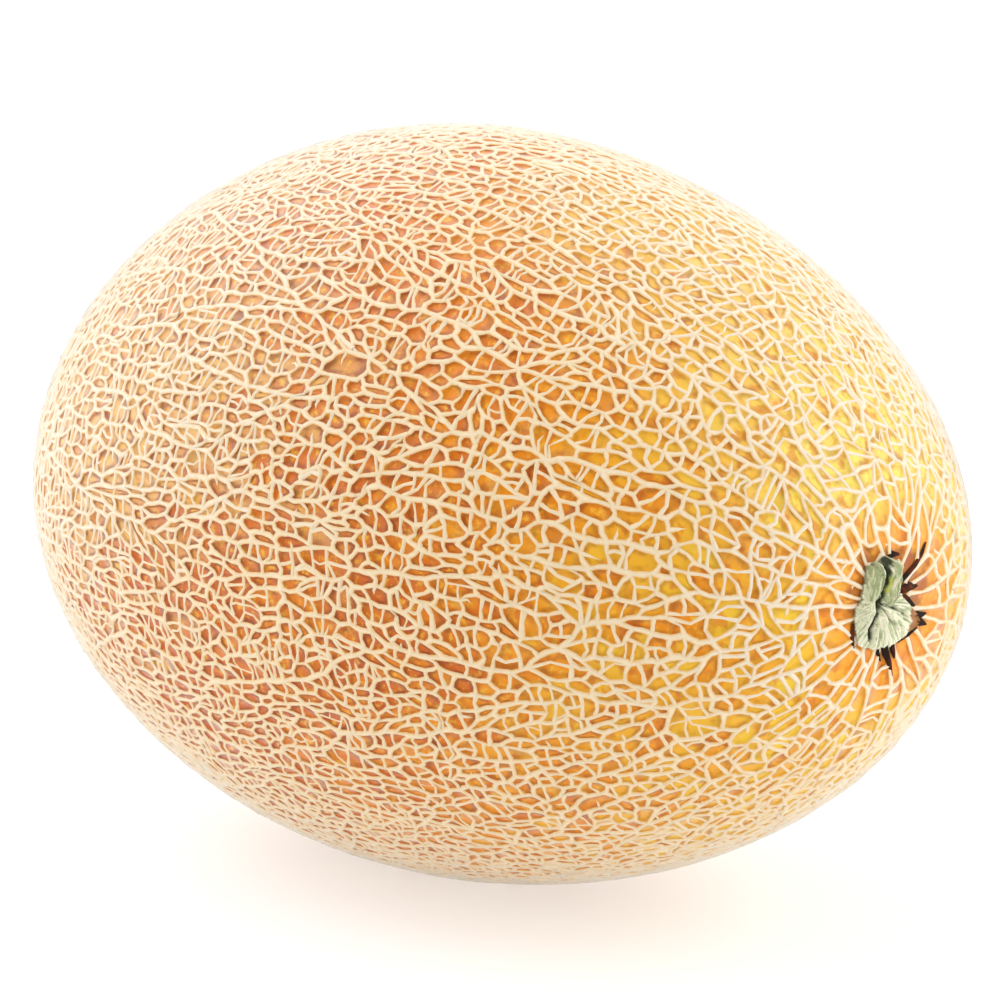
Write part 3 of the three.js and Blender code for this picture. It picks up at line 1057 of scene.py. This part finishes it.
# Strips of dead skin round the stub, in millimetres from its middle as above, with their widths.
SLIVERS = (
    (((4.6, 3.6), (6.3, 4.6), (9.2, 6.4), (11.6, 8.5), (13.3, 10.5)), (1.4, 1.3, 1.2, 0.9, 0.4)),
    (((5.0, 2.0), (7.4, 2.4), (9.9, 2.1)), (1.6, 2.2, 0.6)),
    (((4.4, 0.9), (6.6, -0.2), (9.2, -1.9)), (1.4, 2.2, 0.6)),
    (((9.2, -3.8), (11.2, -4.3), (12.9, -4.2)), (1.6, 1.5, 0.5)),
    (((9.6, -5.2), (11.4, -5.8), (13.2, -6.6)), (1.6, 1.7, 0.5)),
    (((9.8, -6.6), (7.2, -7.8), (4.4, -8.7)), (1.0, 1.2, 0.8)),
    (((0.4, -8.0), (1.2, -10.4), (2.4, -12.6), (3.9, -15.8)), (2.0, 1.9, 1.4, 0.4)),
    (((2.6, -8.0), (3.2, -10.0), (3.9, -12.0)), (1.6, 1.4, 0.5)),
    (((-1.8, -8.0), (-1.2, -9.8), (-0.2, -11.9)), (1.4, 1.1, 0.4)),
    (((1.0, 8.8), (2.6, 10.0), (4.6, 9.6)), (1.2, 1.5, 0.6)),
    (((-8.4, -2.6), (-8.6, -5.0), (-8.0, -7.9)), (0.8, 1.2, 0.5)))


def sliver_mesh(skin, middle, name):
    """The paths of the strips of dead skin, with the values that strands_tree needs."""
    places = np.array([place for path, _ in SLIVERS for place in path]) * MM + middle
    widths = [width * MM for _, widths in SLIVERS for width in widths]
    steps, number = [], 0
    for path, _ in SLIVERS:
        steps += [(number + i, number + i + 1) for i in range(len(path) - 1)]
        number += len(path)
    return path_mesh(name, skin, skin.at_stem(places), steps, widths, [0.5] * len(places))


# ---- Building node trees ----

class Tree:
    """Short calls for making and linking the nodes of a tree."""

    def __init__(self, tree):
        self.tree, self.nodes = tree, tree.nodes

    def add(self, kind, *inputs, out=0, **options):
        """Makes a node, and returns its output of this number. inputs fill its sockets in order."""
        node = self.nodes.new(kind)
        named = options.pop("named", {})
        for option, value in options.items():
            setattr(node, option, value)
        for socket, value in zip([s for s in node.inputs if s.enabled], inputs):
            self.fill(socket, value)
        for label, value in named.items():
            self.fill(node.inputs[label], value)
        return [s for s in node.outputs if s.enabled][out]

    def fill(self, socket, value):
        """Links a socket, sets a value, or for None leaves it. A colour may have three numbers."""
        if isinstance(value, bpy.types.NodeSocket):
            self.tree.links.new(value, socket)
        elif value is not None:
            if socket.type == "RGBA" and len(value) == 3:
                value = (*value, 1.0)
            socket.default_value = value

    def math(self, operation, *inputs, clamp=False):
        return self.add("ShaderNodeMath", *inputs, operation=operation, use_clamp=clamp)

    def plus(self, *inputs):
        return self.math("ADD", *inputs)

    def minus(self, *inputs):
        return self.math("SUBTRACT", *inputs)

    def times(self, *inputs):
        return self.math("MULTIPLY", *inputs)


class ShaderTree(Tree):
    """The nodes that most of this file's materials need."""

    def mix(self, share, first, second):
        """A share of the way from one colour to another."""
        return self.add("ShaderNodeMix", share, first, second, data_type="RGBA")

    def ramp(self, value, low, high, start=0.0, end=1.0):
        """A smooth step of a value, from start at low to end at high."""
        return self.add("ShaderNodeMapRange", value, low, high, start, end, interpolation_type="SMOOTHSTEP")

    def attributes(self, *names):
        """The numbers that the mesh holds under these names."""
        return [self.add("ShaderNodeAttribute", attribute_name=name, out=2) for name in names]

    def distance(self, place, point):
        return self.add("ShaderNodeVectorMath", place, tuple(point), operation="DISTANCE")

    def bump(self, shader, height, strength, depth):
        """Raises the surface by a height from 0 to 1, this many millimetres deep."""
        self.fill(shader.inputs["Normal"], self.add("ShaderNodeBump", named={
            "Height": height, "Strength": strength, "Distance": depth * MM}))

    def painted(self, colour, *coats):
        """A colour under coats of others, each with the share of it that covers."""
        for share, coat in coats:
            colour = self.mix(share, colour, coat)
        return colour

    def noise(self, place, scale, detail=2.0, rough=0.5):
        return self.add("ShaderNodeTexNoise", named={
            "Vector": place, "Scale": scale, "Detail": detail, "Roughness": rough})

    def where(self):
        """The place on the object, in metres."""
        return self.add("ShaderNodeTexCoord", out=3)

    def grain(self, place, scale, rough, patch_scale):
        """The fine grain of a dry surface, and its broad patches."""
        node = self.nodes.new("ShaderNodeGroup")
        node.node_tree = dry_grain_group()
        for socket, value in zip(node.inputs, (place, scale, rough, patch_scale)):
            self.fill(socket, value)
        return node.outputs


def dry_grain_group():
    """The shader group that every dry surface takes its grain and its patches from."""
    group = bpy.data.node_groups.get("dry_grain")
    if group is None:
        group = bpy.data.node_groups.new("dry_grain", "ShaderNodeTree")
        group.interface.new_socket("Place", in_out="INPUT", socket_type="NodeSocketVector")
        for label in ("Grain Scale", "Grain Roughness", "Patch Scale"):
            group.interface.new_socket(label, in_out="INPUT", socket_type="NodeSocketFloat")
        for label in ("Grain", "Patches"):
            group.interface.new_socket(label, in_out="OUTPUT", socket_type="NodeSocketFloat")
        t = ShaderTree(group)
        start, end = t.nodes.new("NodeGroupInput").outputs, t.nodes.new("NodeGroupOutput").inputs
        t.fill(end["Grain"], t.noise(start["Place"], start["Grain Scale"], 3.0, start["Grain Roughness"]))
        t.fill(end["Patches"], t.noise(start["Place"], start["Patch Scale"]))
    return group


def new_material(name, rough, **sockets):
    """A material whose shader has these constant values, with its tree and its shader."""
    material = bpy.data.materials.new(name)
    material.use_nodes = True
    tree = ShaderTree(material.node_tree)
    shader = material.node_tree.nodes["Principled BSDF"]
    shader.inputs["Roughness"].default_value = rough
    for socket, value in sockets.items():
        shader.inputs[socket].default_value = value
    return material, tree, shader


# ---- Materials ----

# Places round the stub, from its middle, in millimetres along the fruit, to the right and up.
# the middle of the painted shadow on the rind round the stub
STUB_SHADOW_AT = Vector((0.0, 1.5, 1.5)) * MM
RING_AT = Vector((0.0, 5.0, -2.0)) * MM
PALE_AT = Vector((0.0, -12.0, 6.0)) * MM


def netted_rind_material(colours, stub_middle, scar):
    """Smooth orange skin with flecks, under dry cream cork, with painted shade at the pans' edges and round
    the stub, and painted light on top.
    """
    material, t, shader = new_material("netted_rind", 0.5, **{
        "Specular IOR Level": 0.15, "Sheen Weight": 1.0, "Sheen Roughness": 0.36, "Coat Roughness": 0.35})
    place = t.where()
    cork, pan, tint = t.attributes("cork", "pan", "tint")
    x, y, z = (t.add("ShaderNodeSeparateXYZ", place, out=i) for i in range(3))
    from_stub_shadow, from_ring, from_pale = (
        t.distance(place, stub_middle + shift) for shift in (STUB_SHADOW_AT, RING_AT, PALE_AT))
    crumbs, blush = t.grain(place, 900.0, 0.7, 260.0)
    mottle = t.noise(place, 620.0, 3.0, 0.6)
    shade = t.noise(place, 330.0)
    # ripeness rises from the blossom end and the far side towards the stalk, and from pan to pan
    ripeness = t.plus(t.times(x, 4.5), t.times(y, 3.4))
    ripeness = t.plus(t.plus(ripeness, t.times(t.noise(place, 22.0), 0.5)), t.times(tint, 0.3))
    # the skin turns deeper orange lower down and duller higher up, and the cork paler with it: partly their
    # own tone, partly painted shade and light
    ripe_and_low_shade = t.ramp(t.plus(ripeness, t.times(t.minus(0.09, z), 4.8)), -0.12, 0.25)
    # painted light: paler skin and cork on the upper side towards the stalk
    painted_light = t.times(t.ramp(z, 0.076, 0.114, 0.0, 0.6), t.ramp(x, 0.0, 0.05))
    painted_light = t.times(painted_light, t.ramp(y, -0.05, -0.005))
    # painted shade: small pans, and the edges of large ones, are darker in patches, where the strands would
    # shade them
    edge = t.times(t.ramp(pan, 0.8, 0.55), t.ramp(shade, 0.38, 0.64, 0.25, 1.0))
    edge = t.times(edge, t.ramp(ripeness, 0.1, 0.9, 0.85, 0.35))
    # painted shadow on the rind round the stub, with a ragged edge
    stub_shadow = t.plus(from_stub_shadow, t.times(t.noise(place, 240.0), 0.012))
    skin = t.painted(
        colours.pan_dull,
        (ripe_and_low_shade, colours.pan_deep),
        (t.ramp(ripeness, 0.15, 0.55), colours.pan),
        (t.ramp(ripeness, 0.5, 1.05), colours.pan_ripe),
        # painted shade: deeper orange on the very top, against the haze of the top light
        (t.ramp(z, 0.118, 0.15, 0.0, 0.6), colours.pan_deep),
        # painted light on top
        (painted_light, colours.pan_painted_light),
        (t.ramp(from_ring, 0.03, 0.013, 0.0, 0.78), colours.ring),
        (t.ramp(mottle, 0.5, 0.68, 0.0, 0.85), colours.pan_fleck),
        (t.ramp(blush, 0.5, 0.35, 0.0, 0.55), colours.pan_deep),
        # painted shade at the pans' edges and in small pans
        (edge, colours.shade_and_brown),
        # painted shadow round the stub
        (t.ramp(stub_shadow, 0.0185, 0.0155, 0.0, 0.65), colours.shade_and_brown))
    # the cork is paler where the skin is dull, above the stub, and under the painted light on top; at the
    # scar it is brown
    paleness = t.math("MAXIMUM", t.minus(1.0, ripe_and_low_shade), t.times(painted_light, 1.6), clamp=True)
    paleness = t.math("MAXIMUM", paleness, t.ramp(from_pale, 0.04, 0.02))
    ragged = t.plus(cork, t.times(t.minus(shade, 0.5), 0.7))
    from_scar = t.plus(t.distance(place, scar), t.times(shade, 0.003))
    net = t.painted(
        colours.net_side,
        (t.ramp(ragged, 0.25, 0.9), t.mix(paleness, colours.net, colours.net_pale)),
        (t.ramp(crumbs, 0.5, 0.3, 0.0, 0.35), colours.net_side),
        (t.ramp(from_scar, 0.0062, 0.004, 0.0, 0.75), colours.rust))
    is_cork = t.math("MAXIMUM", t.ramp(ragged, 0.16, 0.32), t.ramp(from_scar, 0.0068, 0.0058))
    t.fill(shader.inputs["Base Color"], t.mix(is_cork, skin, net))
    t.fill(shader.inputs["Roughness"], t.ramp(is_cork, 0.0, 1.0, 0.42, 0.85))
    t.fill(shader.inputs["Coat Weight"], t.ramp(is_cork, 0.0, 1.0, 0.2, 0.05))
    t.bump(shader, t.times(crumbs, t.ramp(is_cork, 0.0, 1.0, 0.25, 1.0)), 0.35, 0.4)
    return material


def dry_stalk_material(colours):
    """Sage and cream fibres, with painted shade in the folds, and burnt at the edges."""
    material, t, shader = new_material("dry_stalk", 0.8, **{"Specular IOR Level": 0.25, "Sheen Weight": 0.3})
    column, streak, groove, burnt, rusty, fresh = t.attributes(
        "column", "streak", "groove", "burnt", "rusty", "fresh")
    speckle, patch = t.grain(t.where(), 900.0, 0.6, 260.0)
    dark = t.plus(streak, t.times(t.minus(speckle, 0.5), 0.5))
    crumbling = t.plus(speckle, 0.6)
    t.fill(shader.inputs["Base Color"], t.painted(
        colours.fan,
        (t.ramp(t.plus(column, t.minus(patch, 0.5)), 0.2, 0.9), colours.stalk),
        (t.ramp(dark, 0.5, 0.26, 0.0, 0.65), colours.fibre),
        # pale streaks: partly the fibres' own tone, partly painted highlight
        (t.ramp(dark, 0.52, 0.7, 0.0, 0.75), colours.net_pale),
        (t.ramp(fresh, 0.3, 0.9, 0.0, 0.85), colours.fresh),
        (t.ramp(t.times(rusty, t.plus(patch, 0.5)), 0.3, 0.7), colours.rust),
        # painted shade in the folds, cracks and furrows
        (t.ramp(t.times(groove, crumbling), 0.3, 0.8), colours.groove),
        (t.ramp(t.times(burnt, crumbling), 0.3, 0.75), colours.bruise)))
    t.fill(shader.inputs["Roughness"], t.ramp(streak, 0.2, 0.8, 0.9, 0.65))
    t.bump(shader, speckle, 0.5, 0.4)
    return material


def dead_skin_material(colours):
    """Shrivelled dark skin, browner in patches."""
    material, t, shader = new_material("dead_skin", 0.7, **{"Specular IOR Level": 0.12})
    speckle, patch = t.grain(t.where(), 700.0, 0.6, 180.0)
    t.fill(shader.inputs["Base Color"], t.painted(
        colours.bruise,
        (t.ramp(patch, 0.45, 0.65, 0.0, 0.5), colours.shade_and_brown),
        (t.ramp(speckle, 0.6, 0.78, 0.0, 0.25), colours.rust)))
    t.bump(shader, speckle, 0.4, 0.3)
    return material


FLOOR_SHADOW = 0.45  # how much darker the floor is than its colour
FLOOR_GLOW = 0.55  # the light that it gives back by itself, which makes up for that


def floor_material(stage):
    """A white floor that fades into the light behind it, and keeps a soft shadow."""
    material, t, shader = new_material("studio_floor", 0.7)
    white = t.mix(t.ramp(t.noise(t.where(), 3.0), 0.3, 0.7, 0.0, 0.03), stage.floor, (0.9, 0.9, 0.9))
    t.fill(shader.inputs["Base Color"], t.mix(FLOOR_SHADOW, white, (0.0, 0.0, 0.0)))
    t.fill(shader.inputs["Emission Color"], white)
    shader.inputs["Emission Strength"].default_value = FLOOR_GLOW
    return material


# ---- Geometry trees ----

class GeometryTree(Tree):
    """A geometry tree with named sizes, which ends in Realize Instances and Set Material."""

    FAR_BELOW = -10.0  # further out than any piece, so that x and y stay as they are

    def __init__(self, name, *sizes):
        group = bpy.data.node_groups.new(name, "GeometryNodeTree")
        self.identifiers = {}
        for label, kind in (("Geometry", "Geometry"), *((size, "Float") for size in sizes),
                            ("Material", "Material")):
            socket = group.interface.new_socket(label, in_out="INPUT", socket_type="NodeSocket" + kind)
            self.identifiers[label] = socket.identifier
        group.interface.new_socket("Geometry", in_out="OUTPUT", socket_type="NodeSocketGeometry")
        super().__init__(group)
        self.start = self.nodes.new("NodeGroupInput").outputs

    def value(self, name, kind="FLOAT"):
        return self.add("GeometryNodeInputNamedAttribute", name, data_type=kind)

    def store(self, geometry, name, value):
        return self.add("GeometryNodeStoreNamedAttribute", geometry, None, name, value, data_type="FLOAT")

    def scaled(self, vector, size):
        return self.add("ShaderNodeVectorMath", vector, size, operation="SCALE")

    def finish(self, geometry):
        """Lifts what lies under the table onto it, and ends the tree."""
        on_table = self.add("ShaderNodeVectorMath", self.add("GeometryNodeInputPosition"),
                            (self.FAR_BELOW, self.FAR_BELOW, 0.0), operation="MAXIMUM")
        geometry = self.add("GeometryNodeSetPosition", geometry, named={"Position": on_table})
        geometry = self.add("GeometryNodeRealizeInstances", geometry)
        geometry = self.add("GeometryNodeSetMaterial", geometry, None, self.start["Material"])
        self.tree.links.new(geometry, self.nodes.new("NodeGroupOutput").inputs[0])
        return self


def relief_tree():
    """Lifts the strands of a flat net off the skin, sinks its pans, and keeps it all above the table."""
    t = GeometryTree("net_relief", "Net Height", "Pan Depth", "Pan Dome")
    up = t.times(t.value("height"), t.plus(t.start["Net Height"], t.start["Pan Depth"]))
    # from 0 at the edge of a pan, where its value is RIM_PAN, to 1
    inside = t.times(t.math("MAXIMUM", t.minus(t.value("pan"), NetSurface.RIM_PAN), 0.0), 2.0)
    up = t.minus(t.plus(up, t.times(inside, t.start["Pan Dome"])), t.start["Pan Depth"])
    offset = t.scaled(t.add("GeometryNodeInputNormal"), up)
    lifted = t.add("GeometryNodeSetPosition", t.start["Geometry"], named={"Offset": offset})
    return t.finish(t.add("GeometryNodeSetShadeSmooth", lifted, None, True))


FOOT_SINK = 1.15  # depth of the fine strands' feet, in pan depths
# at this pan value the material paints a little shade along the fine strands' feet
STRAND_PAN = 0.7  # the pan value of the fine strands' feet


def strands_tree():
    """Thickens paths over the skin into ridges: each has a crest, and two feet that are sunk in the pans."""
    t = GeometryTree("fine_strands", "Pan Depth", "Steepness")
    up = t.value("up", "FLOAT_VECTOR")
    path = t.add("GeometryNodeMeshToCurve", t.start["Geometry"])
    path = t.add("GeometryNodeSetCurveNormal", path, mode="FREE", named={"Normal": up})
    path = t.add("GeometryNodeSetPosition", path, named={
        "Offset": t.scaled(up, t.times(t.start["Pan Depth"], -FOOT_SINK))})
    # the ridge's cross-section: corner 0 is the crest, and corners 1 and 2 are the feet, half a width aside
    ridge = t.add("GeometryNodeCurvePrimitiveCircle", 3, named={"Radius": 1.0})
    corner = t.add("GeometryNodeInputIndex")
    is_crest = t.math("LESS_THAN", corner, 0.5)
    across = t.times(t.minus(1.5, corner), t.minus(1.0, is_crest))
    shape = t.add("ShaderNodeCombineXYZ", t.times(is_crest, t.start["Steepness"]), across, 0.0)
    ridge = t.add("GeometryNodeSetPosition", ridge, named={"Position": shape})
    cork = t.plus(t.times(is_crest, 0.7), 0.3)
    ridge = t.store(t.store(ridge, "cork", cork), "pan", STRAND_PAN)
    strands = t.add("GeometryNodeCurveToMesh", path, ridge, t.value("width"), True)
    strands = t.add("GeometryNodeSetShadeSmooth", strands, None, True)
    is_foot = t.math("LESS_THAN", t.value("cork"), 0.5)
    return t.finish(t.add("GeometryNodeSetShadeSmooth", strands, is_foot, False, domain="EDGE"))


def grown(mesh, tree, name, inputs):
    """The plain mesh object that a geometry tree makes of a mesh."""
    source = in_scene(name + "_source", mesh)
    modifier = source.modifiers.new(tree.tree.name, "NODES")
    modifier.node_group = tree.tree
    for label, value in inputs.items():
        modifier[tree.identifiers[label]] = value
    evaluated = source.evaluated_get(bpy.context.evaluated_depsgraph_get())
    made = bpy.data.meshes.new_from_object(evaluated)
    bpy.data.objects.remove(source)
    bpy.data.meshes.remove(mesh)
    made.name = name
    return in_scene(name, made)


def check_closed(piece):
    """Stops the script if a side of the mesh doesn't have exactly two faces."""
    mesh = piece.data
    used = np.zeros(len(mesh.edges), int)
    sides = np.zeros(len(mesh.loops), int)
    mesh.loops.foreach_get("edge_index", sides)
    np.add.at(used, sides, 1)
    if (used != 2).any():
        raise RuntimeError(f"{piece.name} is open at {(used != 2).sum()} edges")


# ---- Operators ----

class MELON_OT_rind(bpy.types.Operator):
    """Makes the fruit's netted rind"""
    bl_idname = "melon.rind"
    bl_label = "Netted Rind"

    TRIANGLES = 199000  # the most in the rind's mesh
    SHORTEST_SIDE = 1.0 * MM
    STEEPNESS = 0.46  # height of a fine strand, in half widths

    def execute(self, context):
        net, colours = context.scene.melon_net, context.scene.melon_colours
        skin = Skin("melon", net)
        grower = NetGrower(skin, net)
        self.grow_and_settle(grower)
        surface = NetSurface(skin, net, grower.web, grower.random)
        low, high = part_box("stem_stub")
        scar = skin.below([skin.centre - Vector((skin.half_length, 0, 0))])[0]
        material = netted_rind_material(colours, (low + high) / 2, scar)
        rind = grown(surface.mesh("rind"), relief_tree(), "rind", {
            "Net Height": net.height, "Pan Depth": net.pan_depth, "Pan Dome": net.pan_dome,
            "Material": material})
        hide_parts("melon")
        strands = grown(FineNet(skin, net, grower, surface).mesh("fine_net"), strands_tree(), "fine_net", {
            "Pan Depth": net.pan_depth, "Steepness": self.STEEPNESS, "Material": material})
        for piece in (rind, strands):
            check_closed(piece)
            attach(piece, "root")
        return {"FINISHED"}

    def grow_and_settle(self, grower):
        grower.grow()
        grower.limber()
        grower.stray()
        grower.tauten(2, 0.4)
        grower.knot(self.SHORTEST_SIDE)
        grower.tauten(1, 0.3)
        grower.bend(self.TRIANGLES)
        grower.tauten(1, 0.2)
        grower.untangle()


class MELON_OT_stub(bpy.types.Operator):
    """Makes the dry stub of the stalk, and the strips of dead skin round it"""
    bl_idname = "melon.stub"
    bl_label = "Stalk Stub"

    STEEPNESS = 0.55  # height of a strip of dead skin, in half widths

    def execute(self, context):
        net, colours = context.scene.melon_net, context.scene.melon_colours
        skin = Skin("melon", net)
        noise.seed_set(net.seed + 2)
        shape = StubShape(skin)
        stub = in_scene("stem_stub_torn", shape.mesh("stem_stub_torn"))
        stub.data.materials.append(dry_stalk_material(colours))
        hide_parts("stem_stub")
        slivers = grown(sliver_mesh(skin, shape.middle, "slivers"), strands_tree(), "dead_skin_slivers", {
            "Pan Depth": 0.0, "Steepness": self.STEEPNESS, "Material": dead_skin_material(colours)})
        for piece in (stub, slivers):
            check_closed(piece)
            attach(piece, "root")
        return {"FINISHED"}


class MELON_OT_stage(bpy.types.Operator):
    """Makes the floor, the lights and the camera"""
    bl_idname = "melon.stage"
    bl_label = "Stage"

    # from the fruit's middle to where the camera aims, and from there to the right and up in its view
    AIM_SHIFT = Vector((0.45, 0.1, -0.55)) * MM
    FRAME_RIGHT, FRAME_UP = 0.42 * MM, 1.32 * MM
    # name, the way to it, how wide it looks in degrees, and power
    LIGHTS = (("right_light", (0.7, 0.6, 0.5), 70, 2.35), ("left_light", (-0.8, -0.4, 0.65), 80, 2.9),
              ("top_light", (-0.5, 0.5, 0.7), 80, 0.45))
    ROOM_LIGHT = 0.58  # the white room's light on the fruit; the camera sees it at 1

    def execute(self, context):
        stage = context.scene.melon_stage
        self.floor(stage)
        self.camera(context, stage)
        self.lights(context)
        return {"FINISHED"}

    def floor(self, stage):
        half = stage.floor_size / 2
        corners = [(-half, -half, 0), (half, -half, 0), (half, half, 0), (-half, half, 0)]
        mesh = bpy.data.meshes.new("studio_floor")
        mesh.from_pydata(corners, [], [(0, 1, 2, 3)])
        mesh.materials.append(floor_material(stage))
        floor = in_scene("studio_floor", mesh)

    def camera(self, context, stage):
        turn, rise = stage.turn, stage.rise
        back = Vector((math.sin(turn) * math.cos(rise), -math.cos(turn) * math.cos(rise), math.sin(rise)))
        right = Vector((math.cos(turn), math.sin(turn), 0))
        up = back.cross(right)
        low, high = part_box("melon")
        aim = (low + high) / 2 + self.AIM_SHIFT + right * self.FRAME_RIGHT + up * self.FRAME_UP
        camera = in_scene("camera", bpy.data.cameras.new("camera"))
        camera.data.lens = stage.lens
        camera.location = aim + back * stage.distance
        camera.rotation_euler = back.to_track_quat("Z", "Y").to_euler()
        context.scene.camera = camera

    def lights(self, context):
        context.scene.view_settings.view_transform = "Standard"
        world = bpy.data.worlds.new("studio")
        world.use_nodes = True
        t = ShaderTree(world.node_tree)
        is_seen = t.add("ShaderNodeLightPath")
        background = world.node_tree.nodes["Background"]
        t.fill(background.inputs["Color"], (1.0, 1.0, 1.0))
        t.fill(background.inputs["Strength"], t.ramp(is_seen, 0.0, 1.0, self.ROOM_LIGHT, 1.0))
        context.scene.world = world
        for name, place, spread, power in self.LIGHTS:
            light = in_scene(name, bpy.data.lights.new(name, "SUN"))
            light.data.angle = math.radians(spread)
            light.data.energy = power
            light.rotation_euler = Vector(place).to_track_quat("Z", "Y").to_euler()


class MELON_PT_tools(bpy.types.Panel):
    """Lists the pieces that can be made"""
    bl_label = "Hami Melon"
    bl_space_type = "VIEW_3D"
    bl_region_type = "UI"
    bl_category = "Melon"

    def draw(self, context):
        for operator in OPERATORS:
            self.layout.operator(operator.bl_idname)
        for settings in (context.scene.melon_net, context.scene.melon_colours, context.scene.melon_stage):
            box = self.layout.box()
            for name in settings.__annotations__:
                box.prop(settings, name)


OPERATORS = (MELON_OT_stage, MELON_OT_rind, MELON_OT_stub)
CLASSES = (MelonNetSettings, MelonColourSettings, MelonStageSettings, *OPERATORS, MELON_PT_tools)


def register():
    for cls in CLASSES:
        bpy.utils.register_class(cls)
    bpy.types.Scene.melon_net = bpy.props.PointerProperty(type=MelonNetSettings)
    bpy.types.Scene.melon_colours = bpy.props.PointerProperty(type=MelonColourSettings)
    bpy.types.Scene.melon_stage = bpy.props.PointerProperty(type=MelonStageSettings)


def unregister():
    for name in ("melon_net", "melon_colours", "melon_stage"):
        delattr(bpy.types.Scene, name)
    for cls in reversed(CLASSES):
        bpy.utils.unregister_class(cls)


def main():
    register()
    bpy.ops.melon.stage()
    bpy.ops.melon.rind()
    bpy.ops.melon.stub()


if __name__ == "__main__":
    main()
